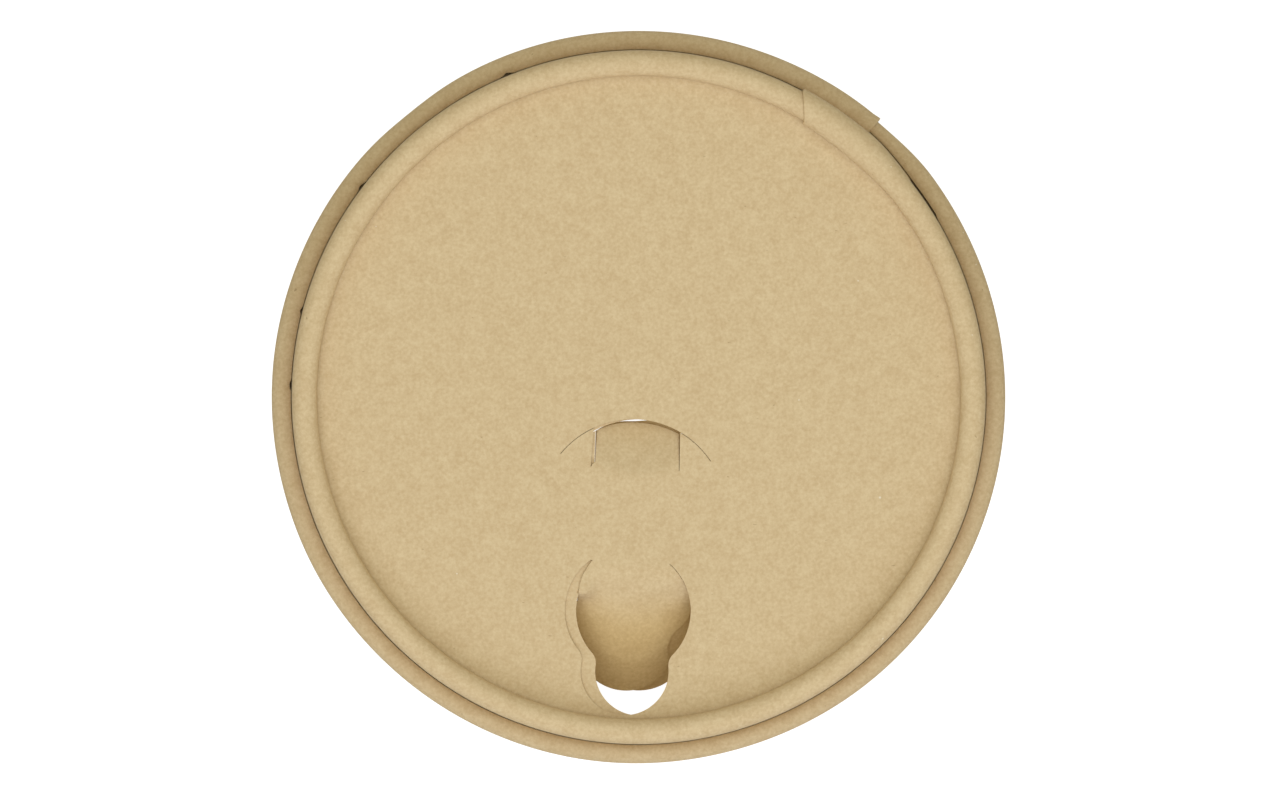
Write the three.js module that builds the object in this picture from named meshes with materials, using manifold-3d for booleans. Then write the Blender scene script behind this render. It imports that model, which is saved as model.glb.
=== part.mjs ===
// Paper lid for a takeaway coffee cup, in millimetres, +Z up.
// The origin is at the centre of the lid's base. The sip flap lies toward -Y.
// Three pieces of kraft board: a rolled side wall and two dished discs, one glued under the other.

import * as THREE from "three";
import * as BufferGeometryUtils from "three/addons/utils/BufferGeometryUtils.js";
import Module from "manifold-3d";

// Board and joints
const BOARD = 0.35; // thickness of the kraft board
const GLUE_GAP = 0.05; // between two faces that are glued together
const KERF = 0.06; // width that a cutting rule leaves on each side of a cut

// Side wall
const BEAD_RADIUS = 47.5; // outermost radius of the bottom bead
const BEAD_ROLL = 1.45; // radius of the bead's own round section
const BEAD_FLAT = 0.6; // width of the flattened foot that the lid stands on
const RIM_TOP = 15.5; // height of the rolled rim's crest
const WALL_FLARE = 0.17; // by which the wall is wider at its foot than at the rim
const RIM_WIDTH = 3.28; // width of the rolled rim, seen from above
const CURL_CLEARANCE = 0.07; // between the bead's free edge and the wall
const SEAM_INNER_END = 49; // azimuth in degrees of the strip's hidden end
const LAP = 12; // degrees by which the strip overlaps itself
const LAP_RAMP = 12; // degrees over which the strip climbs onto its own end
const SEAM_SLANT = 2.6; // degrees by which the visible end leans across the rim
const STEPS_PER_TURN = 60;

// Discs
const RECESS = 3.5; // depth from the rim's crest to the upper disc's top face
const FLANGE_BEND = 0.9; // outer radius where a disc turns up into its flange

// Die-cut pattern of the discs: the sip flap, and the curved slit that its folded-back tip goes into
const TOP_PATTERN_TURN = -2.95; // degrees about +Z
const UNDER_PATTERN_TURN = 0.1;
const SIP_MARGIN = 0.45; // board left between the sip opening and the rolled rim
const TIP_RADIUS = 5.65; // the flap's round tip
const BULB_RADIUS = 8.1; // the flap's round middle
const BULB_TO_TIP = 7.8; // between their centres
const HINGE_TO_BULB = 6.3; // from the flap's hinge to the centre of its middle
const NECK_FILLET = 2; // radius of the hollow between middle and tip
const TUCK = 1.35; // length of the folded-back flap that goes into the slit
const SLIT_RADIUS = 12.05;
const SLIT_HALF_CHORD = 9.55;
const TAB_HALF_WIDTH = 5.65; // the tab between the slit and its own crease
const TAB_LENGTH = 7.6;
const CREASE_BOW = 1.4; // by which the tab's crease is bowed

// How far the pushed-in parts are bent, in degrees at the free end
const TOP_FLAP_BEND = 57;
const UNDER_FLAP_BEND = 64;
const TOP_TAB_BEND = 17;
const UNDER_TAB_BEND = 21;
const EDGE_EASE = 4; // width over which a pushed-in part is squeezed past the lower disc
const HINGE_OVERLAP = 0.5; // a bent part's root reaches this far into its plate
const ROOT_INSET = 0.02; // and lies this far inside the plate's faces

const KRAFT = { color: 0xd0b88e, roughness: 0.9, metalness: 0 };

const LAYER = BOARD + GLUE_GAP; // from one board's face to the next one's
const PLATE_TOP = RIM_TOP - RECESS;
const RIM_OUTER = BEAD_RADIUS - 2 * BEAD_ROLL + BOARD - WALL_FLARE;

// Distances from the lid's centre, toward the sip opening
const OPENING_END = RIM_OUTER - RIM_WIDTH - SIP_MARGIN;
const TIP_REACH = OPENING_END - TIP_RADIUS;
const BULB_REACH = TIP_REACH - BULB_TO_TIP;
const HINGE_REACH = BULB_REACH - HINGE_TO_BULB;
const FLAP_LENGTH = OPENING_END - HINGE_REACH;
const SLIT_REACH = HINGE_REACH - FLAP_LENGTH + TUCK;
const CREASE_REACH = SLIT_REACH + TAB_LENGTH;

const { clamp, degToRad: rad, radToDeg, smoothstep } = THREE.MathUtils;
const wasm = await Module();
wasm.setup();

// Turns a closed three.js geometry into a solid that can be cut and joined.
function toSolid(geometry) {
  const bare = geometry.index ? geometry.toNonIndexed() : geometry.clone();
  bare.deleteAttribute("normal");
  bare.deleteAttribute("uv");
  const merged = BufferGeometryUtils.mergeVertices(bare, 1e-5);
  const corners = [];
  const index = merged.index.array;
  for (let i = 0; i < index.length; i += 3) {
    const [a, b, c] = [index[i], index[i + 1], index[i + 2]];
    if (a !== b && b !== c && a !== c) corners.push(a, b, c);
  }
  return new wasm.Manifold(new wasm.Mesh({
    numProp: 3,
    vertProperties: new Float32Array(merged.attributes.position.array),
    triVerts: new Uint32Array(corners),
  }));
}

function toGeometry(solid) {
  const mesh = solid.getMesh();
  const geometry = new THREE.BufferGeometry();
  geometry.setAttribute("position", new THREE.BufferAttribute(mesh.vertProperties, 3));
  geometry.setIndex(new THREE.BufferAttribute(mesh.triVerts, 1));
  geometry.computeVertexNormals();
  return geometry;
}

// A closed skin over a grid of rings: each ring is a closed loop of points, and both ends are capped.
function skinOverRings(rings, capTriangles) {
  const points = rings.flat();
  const count = rings[0].length;
  const index = [];
  for (let i = 0; i + 1 < rings.length; i++) {
    for (let j = 0; j < count; j++) {
      const a = i * count + j;
      const b = i * count + ((j + 1) % count);
      index.push(a, b, b + count, a, b + count, a + count);
    }
  }
  const last = (rings.length - 1) * count;
  for (const [a, b, c] of capTriangles) {
    index.push(a, c, b, last + a, last + b, last + c);
  }
  const geometry = new THREE.BufferGeometry();
  const flat = points.flatMap((p) => [p.x, p.y, p.z]);
  geometry.setAttribute("position", new THREE.Float32BufferAttribute(flat, 3));
  geometry.setIndex(index);
  return geometry;
}

// The round sections of the rolled rim and of the bead.
const rimRadius = RIM_WIDTH / 2;
const rimCentre = [RIM_OUTER - rimRadius, RIM_TOP - rimRadius];
const footHalfAngle = radToDeg(Math.asin(BEAD_FLAT / 2 / BEAD_ROLL));
const beadCentre = [BEAD_RADIUS - BEAD_ROLL, BEAD_ROLL * Math.cos(rad(footHalfAngle))];

// Points on an arc of the strip's section, as [radius, height].
function arcPoints(centre, radius, fromDeg, toDeg, steps) {
  return Array.from({ length: steps + 1 }, (_, k) => {
    const angle = rad(fromDeg + ((toDeg - fromDeg) * k) / steps);
    return [centre[0] + radius * Math.cos(angle), centre[1] + radius * Math.sin(angle)];
  });
}

// One face of the strip's section, from the hem inside the rim, over the crest and down to the bead.
// inward is how far the face lies inside the strip's outer face, lift how far the strip is raised
// onto its own end, and cover how far the wall beside the bead's free edge is thickened.
function sectionFace(inward, lift, cover) {
  const rimArc = arcPoints(rimCentre, rimRadius - inward + lift, 180, 0, 8);
  const hemFoot = [rimArc[0][0], PLATE_TOP + GLUE_GAP];
  const curlRadius = BEAD_ROLL - BOARD + inward - lift;
  const outerCurl = BEAD_ROLL - lift;
  const room = BEAD_ROLL - BOARD - cover - CURL_CLEARANCE;
  const freeEdge = 360 + radToDeg(Math.acos(-room / outerCurl));
  const toFoot = arcPoints(beadCentre, curlRadius, 180, 270 - footHalfAngle, 3);
  const fromFoot = arcPoints(beadCentre, curlRadius, 270 + footHalfAngle, freeEdge, 8);
  return [hemFoot, ...rimArc, ...toFoot, ...fromFoot];
}

// The side wall is one strip, wound a little more than one turn, its top rolled in and its foot rolled out.
function sideWallGeometry() {
  const turn = 360 + LAP;
  const step = 360 / STEPS_PER_TURN;
  const rings = [];
  const steps = Math.round(turn / step);
  for (let k = 0; k <= steps; k++) {
    const along = (turn * k) / steps;
    const climb = smoothstep(along, 360 - LAP_RAMP, 360);
    const lift = LAYER * climb;
    const cover = along <= LAP ? LAYER : lift;
    const outer = sectionFace(0, lift, cover);
    const inner = sectionFace(BOARD, lift, cover);
    const loop = [...outer, ...inner.reverse()];
    rings.push(loop.map(([r, z]) => {
      const acrossRim = z > PLATE_TOP ? clamp((RIM_OUTER - r) / RIM_WIDTH, 0, 1) : 0;
      const lean = k === steps ? SEAM_SLANT * acrossRim : 0;
      const azimuth = rad(SEAM_INNER_END + along - lean);
      return new THREE.Vector3(r * Math.cos(azimuth), r * Math.sin(azimuth), z);
    }));
  }
  const half = rings[0].length / 2;
  const caps = [];
  for (let j = 0; j + 1 < half; j++) {
    const [a, b] = [j, j + 1];
    const [c, d] = [2 * half - 2 - j, 2 * half - 1 - j];
    caps.push([a, b, c], [a, c, d]);
  }
  return skinOverRings(rings, caps);
}

// Half the width of the sip opening at a distance from the lid's centre: a large circle and a small
// one, joined by a hollow fillet that touches both.
const neck = (() => {
  const span = BULB_TO_TIP;
  const toBulb = BULB_RADIUS + NECK_FILLET;
  const toTip = TIP_RADIUS + NECK_FILLET;
  const along = (span * span + toBulb * toBulb - toTip * toTip) / (2 * span);
  const out = Math.sqrt(toBulb * toBulb - along * along);
  return {
    reach: BULB_REACH + along,
    out,
    from: BULB_REACH + (along * BULB_RADIUS) / toBulb,
    to: TIP_REACH - ((span - along) * TIP_RADIUS) / toTip,
  };
})();

function openingHalfWidth(reach) {
  const chord = (radius, offset) => Math.sqrt(Math.max(radius * radius - offset * offset, 0));
  if (reach < neck.from) return chord(BULB_RADIUS, reach - BULB_REACH);
  if (reach < neck.to) return neck.out - chord(NECK_FILLET, reach - neck.reach);
  return chord(TIP_RADIUS, reach - TIP_REACH);
}

// Distances from the lid's centre at which the opening's outline is drawn, closer near its tip.
const openingStations = (() => {
  const stations = [];
  const bulbSteps = 8;
  const neckSteps = 4;
  const tipSteps = 8;
  for (let k = 0; k < bulbSteps; k++) {
    stations.push(HINGE_REACH + ((neck.from - HINGE_REACH) * k) / bulbSteps);
  }
  for (let k = 0; k < neckSteps; k++) stations.push(neck.from + ((neck.to - neck.from) * k) / neckSteps);
  const startAngle = Math.asin((neck.to - TIP_REACH) / TIP_RADIUS);
  for (let k = 0; k < tipSteps; k++) {
    const angle = startAngle + ((Math.PI / 2 - startAngle) * k) / tipSteps;
    stations.push(TIP_REACH + TIP_RADIUS * Math.sin(angle));
  }
  return stations;
})();

const slitCentre = SLIT_REACH + SLIT_RADIUS;
const slitReachAt = (across) => slitCentre - Math.sqrt(SLIT_RADIUS * SLIT_RADIUS - across * across);

// The tab's crease bows away from the lid's centre.
function creaseReachAt(across) {
  const share = across / TAB_HALF_WIDTH;
  return CREASE_REACH - CREASE_BOW * share * share;
}

// A flat outline, given as [across, reach] in the pattern, as an upright prism through a plate.
function prism(outline, bottom, top) {
  const shape = new THREE.Shape(outline.map(([across, reach]) => new THREE.Vector2(across, -reach)));
  const body = new THREE.ExtrudeGeometry(shape, { depth: top - bottom, bevelEnabled: false });
  return body.translate(0, 0, bottom);
}

function openingPrism(bottom, top) {
  const right = openingStations.map((reach) => [openingHalfWidth(reach), reach]);
  const left = openingStations.map((reach) => [-openingHalfWidth(reach), reach]).reverse();
  return prism([...right, [0, OPENING_END], ...left], bottom, top);
}

// The curved slit, as a thin band cut through a plate.
function slitPrism(bottom, top) {
  const steps = 20;
  const halfAngle = Math.asin(SLIT_HALF_CHORD / SLIT_RADIUS);
  const band = (radius) => Array.from({ length: steps + 1 }, (_, k) => {
    const angle = halfAngle * ((2 * k) / steps - 1);
    return [radius * Math.sin(angle), slitCentre - radius * Math.cos(angle)];
  });
  return prism([...band(SLIT_RADIUS + KERF), ...band(SLIT_RADIUS - KERF).reverse()], bottom, top);
}

// The place that the tab leaves when it is pressed down.
function tabPrism(bottom, top) {
  const steps = 10;
  const across = Array.from({ length: steps + 1 }, (_, k) => TAB_HALF_WIDTH * ((2 * k) / steps - 1));
  const free = across.map((x) => [x, slitReachAt(x)]);
  const crease = across.map((x) => [x, creaseReachAt(x)]).reverse();
  return prism([...free, ...crease], bottom, top);
}

// Where a point of a bent part goes: the bend grows evenly from the root to the free end.
function bent(distance, length, endAngle) {
  const angle = (endAngle * Math.max(distance, 0)) / length;
  const small = Math.abs(angle) < 1e-6;
  const run = small ? distance : (distance * Math.sin(angle)) / angle;
  const drop = small ? 0 : (distance * (1 - Math.cos(angle))) / angle;
  return { angle, run, drop };
}

// A bent sheet of board. rows is a grid of { across, reach, drop, tilt }: each point's place in the
// pattern after bending, its depth below the plate's face and its tilt toward larger reach. The rows
// follow each other toward the lid's centre, and each runs from left to right.
function sheetGeometry(rows, topZ) {
  const thickness = BOARD - 2 * ROOT_INSET;
  const faceTop = topZ - ROOT_INSET;
  const point = (p, depth) => new THREE.Vector3(
    p.across,
    -(p.reach - depth * Math.sin(p.tilt)),
    faceTop - p.drop - depth * Math.cos(p.tilt),
  );
  const rings = rows.map((row) => [
    ...row.map((p) => point(p, 0)),
    ...row.map((p) => point(p, thickness)).reverse(),
  ]);
  const width = rows[0].length;
  const caps = [];
  for (let j = 0; j + 1 < width; j++) {
    caps.push([j, j + 1, 2 * width - 2 - j], [j, 2 * width - 2 - j, 2 * width - 1 - j]);
  }
  return skinOverRings(rings, caps);
}

// How far a pushed-in part's left edge is squeezed inward at a point, where neighbourEdge is how far
// out the lower disc's own edge lies on that side.
function squeeze(across, halfWidth, neighbourEdge, share) {
  const nearEdge = clamp(1 - (across + halfWidth) / EDGE_EASE, 0, 1);
  const overhang = Math.max(halfWidth - neighbourEdge + 2 * KERF, 0);
  return overhang * share * nearEdge * nearEdge;
}

// The sip flap. The upper disc's is squeezed inward until it has passed the lower disc's opening,
// whose pattern is turned by patternShift radians from its own.
function flapGeometry(topZ, endAngle, patternShift) {
  const columns = 8;
  const start = 1.2; // length of the flap that still lies above the lower disc
  const rows = [HINGE_REACH - HINGE_OVERLAP, ...openingStations].map((flat) => {
    const distance = flat - HINGE_REACH;
    const onFlap = distance > 0;
    const { angle, run, drop } = bent(distance, FLAP_LENGTH, endAngle);
    const halfWidth = openingHalfWidth(Math.max(flat, HINGE_REACH)) - KERF;
    const turnedReach = Math.max(flat - patternShift * halfWidth, HINGE_REACH);
    const neighbourEdge = openingHalfWidth(turnedReach) - patternShift * flat;
    const passed = smoothstep(drop, 2 * LAYER, 6 * LAYER);
    const share = patternShift > 0 ? smoothstep(distance, 0, start) * (1 - passed) : 0;
    return Array.from({ length: columns + 1 }, (_, k) => {
      const flatAcross = halfWidth * ((2 * k) / columns - 1);
      const across = flatAcross + squeeze(flatAcross, halfWidth, neighbourEdge, share);
      return { across, reach: HINGE_REACH + (onFlap ? run : distance), drop, tilt: onFlap ? angle : 0 };
    });
  });
  return sheetGeometry(rows.reverse(), topZ);
}

// The tab for the folded-back flap hangs from its crease and points to the lid's centre.
function tabGeometry(topZ, endAngle, patternShift) {
  const columns = 8;
  const creaseLength = 0.25 * TAB_LENGTH;
  const shares = [-HINGE_OVERLAP / TAB_LENGTH, 0, 0.08, 0.2, 0.4, 0.7, 1];
  const half = TAB_HALF_WIDTH - KERF;
  const rows = shares.map((share) => Array.from({ length: columns + 1 }, (_, k) => {
    const flatAcross = half * ((2 * k) / columns - 1);
    const crease = creaseReachAt(flatAcross);
    const distance = share * (crease - slitReachAt(flatAcross) - KERF);
    const onTab = distance > 0;
    const curved = bent(clamp(distance, 0, creaseLength), creaseLength, endAngle);
    const beyond = Math.max(distance - creaseLength, 0);
    const run = curved.run + beyond * Math.cos(endAngle);
    const neighbourEdge = half - patternShift * (crease - distance);
    return {
      across: flatAcross + squeeze(flatAcross, half, neighbourEdge, patternShift > 0 && onTab ? 1 : 0),
      reach: crease - (onTab ? run : distance),
      drop: curved.drop + beyond * Math.sin(endAngle),
      tilt: onTab ? -curved.angle : 0,
    };
  }));
  return sheetGeometry(rows, topZ);
}

// A dished disc: a flat plate whose edge turns up into a flange that stands inside the rolled rim.
function dishGeometry(topZ, flangeOuter) {
  const bottomZ = topZ - BOARD;
  const flangeTop = rimCentre[1] - GLUE_GAP;
  const outerCentre = [flangeOuter - FLANGE_BEND, bottomZ + FLANGE_BEND];
  const innerBend = FLANGE_BEND - BOARD;
  const below = arcPoints(outerCentre, FLANGE_BEND, -90, 0, 3);
  const above = arcPoints(outerCentre, innerBend, 0, -90, 3);
  const profile = [
    [0, bottomZ],
    ...below,
    [flangeOuter, flangeTop],
    [flangeOuter - BOARD, flangeTop],
    ...above,
    [0, topZ],
    [0, bottomZ],
  ].map(([r, z]) => new THREE.Vector2(r, z));
  const start = rad(SEAM_INNER_END + 90);
  const turned = new THREE.LatheGeometry(profile, STEPS_PER_TURN, start, 2 * Math.PI);
  return turned.rotateX(Math.PI / 2);
}

// One disc with its die-cut pattern: the openings are cut out, and the pushed-in parts are joined on.
function discGeometry({ topZ, flangeOuter, patternTurn, flapBend, tabBend, patternShift }) {
  const through = [topZ - 2 * BOARD, topZ + BOARD];
  const placed = (geometry) => toSolid(geometry.rotateZ(rad(patternTurn)));
  let disc = toSolid(dishGeometry(topZ, flangeOuter));
  for (const cut of [openingPrism(...through), slitPrism(...through), tabPrism(...through)]) {
    disc = disc.subtract(placed(cut));
  }
  for (const part of [
    flapGeometry(topZ, rad(flapBend), patternShift),
    tabGeometry(topZ, rad(tabBend), patternShift),
  ]) {
    disc = disc.add(placed(part));
  }
  return toGeometry(disc);
}

function piece(name, geometry) {
  const mesh = new THREE.Mesh(geometry, new THREE.MeshStandardMaterial(KRAFT));
  mesh.name = name;
  return mesh;
}

const lid = new THREE.Group();
const underFlange = RIM_OUTER - LAYER;

lid.add(piece("side_wall", sideWallGeometry()));
lid.add(piece("top_disc", discGeometry({
  topZ: PLATE_TOP,
  flangeOuter: underFlange - LAYER,
  patternTurn: TOP_PATTERN_TURN,
  flapBend: TOP_FLAP_BEND,
  tabBend: TOP_TAB_BEND,
  patternShift: rad(UNDER_PATTERN_TURN - TOP_PATTERN_TURN),
})));
lid.add(piece("under_disc", discGeometry({
  topZ: PLATE_TOP - LAYER,
  flangeOuter: underFlange,
  patternTurn: UNDER_PATTERN_TURN,
  flapBend: UNDER_FLAP_BEND,
  tabBend: UNDER_TAB_BEND,
  patternShift: 0,
})));

export default lid;
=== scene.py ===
import math

import bpy
import numpy as np
from bpy.props import FloatProperty, FloatVectorProperty, PointerProperty
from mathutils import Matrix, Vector, noise


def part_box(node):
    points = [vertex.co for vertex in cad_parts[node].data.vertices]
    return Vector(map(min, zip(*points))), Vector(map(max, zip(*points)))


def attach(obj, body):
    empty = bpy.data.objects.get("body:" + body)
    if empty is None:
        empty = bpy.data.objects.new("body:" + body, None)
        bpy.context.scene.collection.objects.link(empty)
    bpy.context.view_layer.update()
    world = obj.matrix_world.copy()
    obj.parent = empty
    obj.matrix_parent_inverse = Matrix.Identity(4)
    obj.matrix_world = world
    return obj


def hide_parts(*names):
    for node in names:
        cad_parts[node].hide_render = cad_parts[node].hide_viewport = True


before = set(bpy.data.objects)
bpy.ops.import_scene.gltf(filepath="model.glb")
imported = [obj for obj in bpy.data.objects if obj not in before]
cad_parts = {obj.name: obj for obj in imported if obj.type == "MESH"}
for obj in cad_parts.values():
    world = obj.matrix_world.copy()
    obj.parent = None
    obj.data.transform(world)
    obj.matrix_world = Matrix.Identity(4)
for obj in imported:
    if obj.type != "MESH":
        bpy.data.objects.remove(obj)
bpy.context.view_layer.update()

bl_info = {
    "name": "Kraft board cup lid",
    "version": (1, 0, 0),
    "blender": (4, 5, 0),
    "location": "View3D > Sidebar > Cup Lid",
    "description": "Models a kraft board lid for a takeaway cup: wall, two discs, sip flap and tab",
    "category": "Add Mesh",
}

MM = 0.001
WALL_LOW, WALL_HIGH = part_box("side_wall")
TOP_LOW, TOP_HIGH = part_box("top_disc")
UNDER_LOW, UNDER_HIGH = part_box("under_disc")

BOARD = 0.35 * MM
LAYER = 0.4 * MM  # one board and the glue on it
TOUCH = 1e-6  # points nearer than this are one point
NEAR = 0.01 * MM  # a point nearer than this to a radius counts as on it
BEAD_RADIUS = (WALL_HIGH.x - WALL_LOW.x) / 2
RIM_TOP = WALL_HIGH.z - LAYER
RECESS = 3.5 * MM


def length(name, description, metres):
    return FloatProperty(name=name, description=description, default=metres, unit="LENGTH", precision=5)


def angle(name, description, degrees):
    return FloatProperty(name=name, description=description, default=math.radians(degrees), unit="ROTATION")


def colour(name, description, rgb):
    return FloatVectorProperty(
        name=name, description=description, default=rgb, size=3, min=0, max=1, subtype="COLOR"
    )


class WallSizes(bpy.types.PropertyGroup):
    """Sizes of the side wall, its rolled rim and its rolled bead"""
    board: length("Board", "Thickness of the board", BOARD)
    layer: length("Layer", "Height of one board and the glue on it", LAYER)
    bead_radius: length("Bead radius", "Largest radius of the lid", BEAD_RADIUS)
    bead_roll: length("Bead roll", "Outer radius of the rolled bead", 1.45 * MM)
    rim_top: length("Rim top", "Height of the rim's crest", RIM_TOP)
    rim_width: length("Rim width", "Width of the rolled rim", 3.28 * MM)
    flare: length("Flare", "How much wider the wall is at its foot", 0.17 * MM)
    recess: length("Recess", "Depth of the plate below the rim", RECESS)
    seam: angle("Seam", "Direction of the strip's inner end", 49)
    lap: angle("Lap", "How far the strip overlaps itself", 13.2)
    slant: angle("Slant", "How far the seam on the rim leans", 2.7)


class DiscSizes(bpy.types.PropertyGroup):
    """Sizes of the two discs and of the pattern that is cut in them"""
    board: length("Board", "Thickness of the board", BOARD)
    layer: length("Layer", "Height of one board and the glue on it", LAYER)
    plate_top: length("Plate top", "Height of the upper disc's face", RIM_TOP - RECESS)
    flange_top: length("Flange top", "Height of the turned-up edge", TOP_HIGH.z)
    flange_bend: length("Flange bend", "Outer radius of the bend to the flange", 0.9 * MM)
    top_radius: length("Top radius", "Radius of the upper disc", (TOP_HIGH.x - TOP_LOW.x) / 2)
    under_radius: length("Under radius", "Radius of the lower disc", (UNDER_HIGH.x - UNDER_LOW.x) / 2)
    top_turn: angle("Top turn", "How far the upper disc's pattern is turned", -2.95)
    under_turn: angle("Under turn", "How far the lower disc's pattern is turned", 0.1)
    opening_end: length("Opening end", "Distance from the centre to the end of the sip opening", 41.05 * MM)
    tip_radius: length("Tip radius", "Radius of the opening at its end", 5.65 * MM)
    bulb_radius: length("Bulb radius", "Radius of the opening's wide part", 8.1 * MM)
    bulb_to_tip: length("Bulb to tip", "Distance between the centres of the two round parts", 7.8 * MM)
    hinge_to_bulb: length(
        "Hinge to bulb", "Distance from the flap's fold to the wide part's centre", 6.3 * MM
    )
    neck_fillet: length("Neck fillet", "Radius of the hollow between the two round parts", 2 * MM)
    slit_reach: length("Slit reach", "Distance from the centre to the curved slit", 2.9 * MM)
    slit_radius: length("Slit radius", "Radius of the curved slit", 12.05 * MM)
    slit_chord: length("Slit chord", "Half the width of the curved slit", 9.7 * MM)
    tab_half: length("Tab half", "Half the width of the tab", 5.62 * MM)
    tab_length: length("Tab length", "Length of the tab", 7.75 * MM)
    crease_bow: length("Crease bow", "How far the tab's crease bows", 1.4 * MM)
    flap_slope: angle("Flap slope", "How steeply the sip flap hangs past its fold", 28)
    flap_curl: angle("Flap curl", "How much steeper the flap grows along its length", 6)
    neck_crease: angle("Neck crease", "How sharply the flap is creased at its neck", 8)
    tab_bend: angle("Tab bend", "How far the tab is pressed down", 18)
    flap_bow: length("Flap bow", "How far the flap's sides hang below its middle", 2.4 * MM)


class KraftLook(bpy.types.PropertyGroup):
    """Colours of the board, of the painted shade below the plate, and the strength of its markings"""
    deep: colour("Deep", "Colour of the board's darkest clouds", (0.577, 0.422, 0.227))
    pale: colour("Pale", "Colour of the board's palest clouds", (0.685, 0.536, 0.313))
    # Painted shade: a browner tint multiplied into the board where it hangs below the plate, standing in
    # for the warm shade deep in the sip opening
    painted_shade: colour("Painted shade", "Tint of the board that hangs below the plate", (1, 0.94, 0.76))
    fibre: colour("Fibre", "Colour of the dark fibres", (0.30, 0.18, 0.08))
    speck: colour("Speck", "Colour of the light specks", (0.85, 0.78, 0.62))
    mottle: FloatProperty(name="Mottle", description="Strength of the cloudy pattern", default=1.1)
    grain: FloatProperty(name="Grain", description="Strength of the fine grain", default=1.9)
    roughness: FloatProperty(name="Roughness", description="Roughness of the board", default=0.9)


def deselect_all():
    if bpy.context.object and bpy.context.object.mode != "OBJECT":
        bpy.ops.object.mode_set(mode="OBJECT")
    bpy.ops.object.select_all(action="DESELECT")


def settle(obj, name):
    """Names a new object and moves its place into its mesh."""
    obj.name = name
    obj.data.name = name
    bpy.ops.object.transform_apply(location=True, rotation=True, scale=True)
    return obj


def corners(mesh):
    flat = np.empty(len(mesh.vertices) * 3)
    mesh.vertices.foreach_get("co", flat)
    return flat.reshape(-1, 3)


def move_corners(mesh, places):
    mesh.vertices.foreach_set("co", np.asarray(places, dtype=np.float32).ravel())
    mesh.update()


def select_corners(obj, chosen):
    """Goes to edit mode with exactly the chosen corners selected."""
    bpy.ops.object.mode_set(mode="EDIT")
    bpy.ops.mesh.select_mode(type="VERT")
    bpy.ops.mesh.select_all(action="DESELECT")
    bpy.ops.object.mode_set(mode="OBJECT")
    obj.data.vertices.foreach_set("select", np.asarray(chosen, dtype=bool))
    bpy.ops.object.mode_set(mode="EDIT")


def smoothstep(value, low, high):
    share = np.clip((value - low) / (high - low), 0, 1)
    return share * share * (3 - 2 * share)


def finish_board(obj, thickness):
    """Gives a sheet its thickness on the side away from its face, and shades it."""
    deselect_all()
    obj.select_set(True)
    bpy.context.view_layer.objects.active = obj
    solidify = obj.modifiers.new("Board", "SOLIDIFY")
    solidify.thickness = thickness
    solidify.offset = -1
    bpy.ops.object.modifier_apply(modifier=solidify.name)
    bpy.ops.object.shade_smooth_by_angle(angle=math.radians(35))


# The side wall

SPIN_STEP = math.radians(2 / 3)
CLIMB = math.radians(12)  # the strip climbs onto its own start over this turn
SLANT_RAMP = math.radians(8)  # the seam's lean fades out over this turn
ROLL_CORNERS = 64  # corners of the whole circle from which the rim's roll is taken
BEAD_STEPS = 36
HEM_STEPS = 5
WALL_STEPS = 10
BEAD_CLEARANCE = 0.07 * MM  # between the bead's free edge and the wall
BEAD_START = 1.2 * MM  # past the middle between the two rolls, a point belongs to the bead
START_SINK = 0.12 * MM  # how far the bead's start lies below the strip that covers it
START_RAMP = math.radians(1.5)
FREE_EDGE = (math.radians(50), math.radians(110))  # turn round the bead over which its edge is free
PLATE_RISE = 0.2 * MM  # how far the plate climbs to the hem of the rim
BULGES = (  # direction, width in degrees, and how far the bead stands out there
    (50, 14, 0.24 * MM),
    (90, 12, -0.05 * MM),
    (129, 6, -0.24 * MM),
    (178, 16, 0.07 * MM),
    (208, 12, 0.09 * MM),
    (285, 18, -0.16 * MM),
)
NOTCHES = (  # dents in the bead's free edge, in the same terms
    (178, 0.5, 0.3 * MM),
    (165.6, 0.5, 0.25 * MM),
    (142.8, 0.6, 0.3 * MM),
    (112.2, 0.7, 0.35 * MM),
)
CUT_WIDTH = 0.15 * MM  # the strip's cut end slopes over this width
CUT_DROP = 0.22 * MM
OPEN_CREVICE = (30.6, 52.8, 0.16 * MM)  # from and to in degrees, and how far the bead stands off the wall
CREVICE_OPENS, CREVICE_CLOSES = 1, 6  # degrees over which it opens and closes


def bulge(azimuth, bulges):
    """Adds up soft bumps around the lid at a direction in radians."""
    total = np.zeros_like(azimuth)
    for degrees, width, height in bulges:
        off = np.angle(np.exp(1j * (azimuth - math.radians(degrees))))
        total += height * np.exp(-((off / math.radians(width)) ** 2))
    return total


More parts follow.
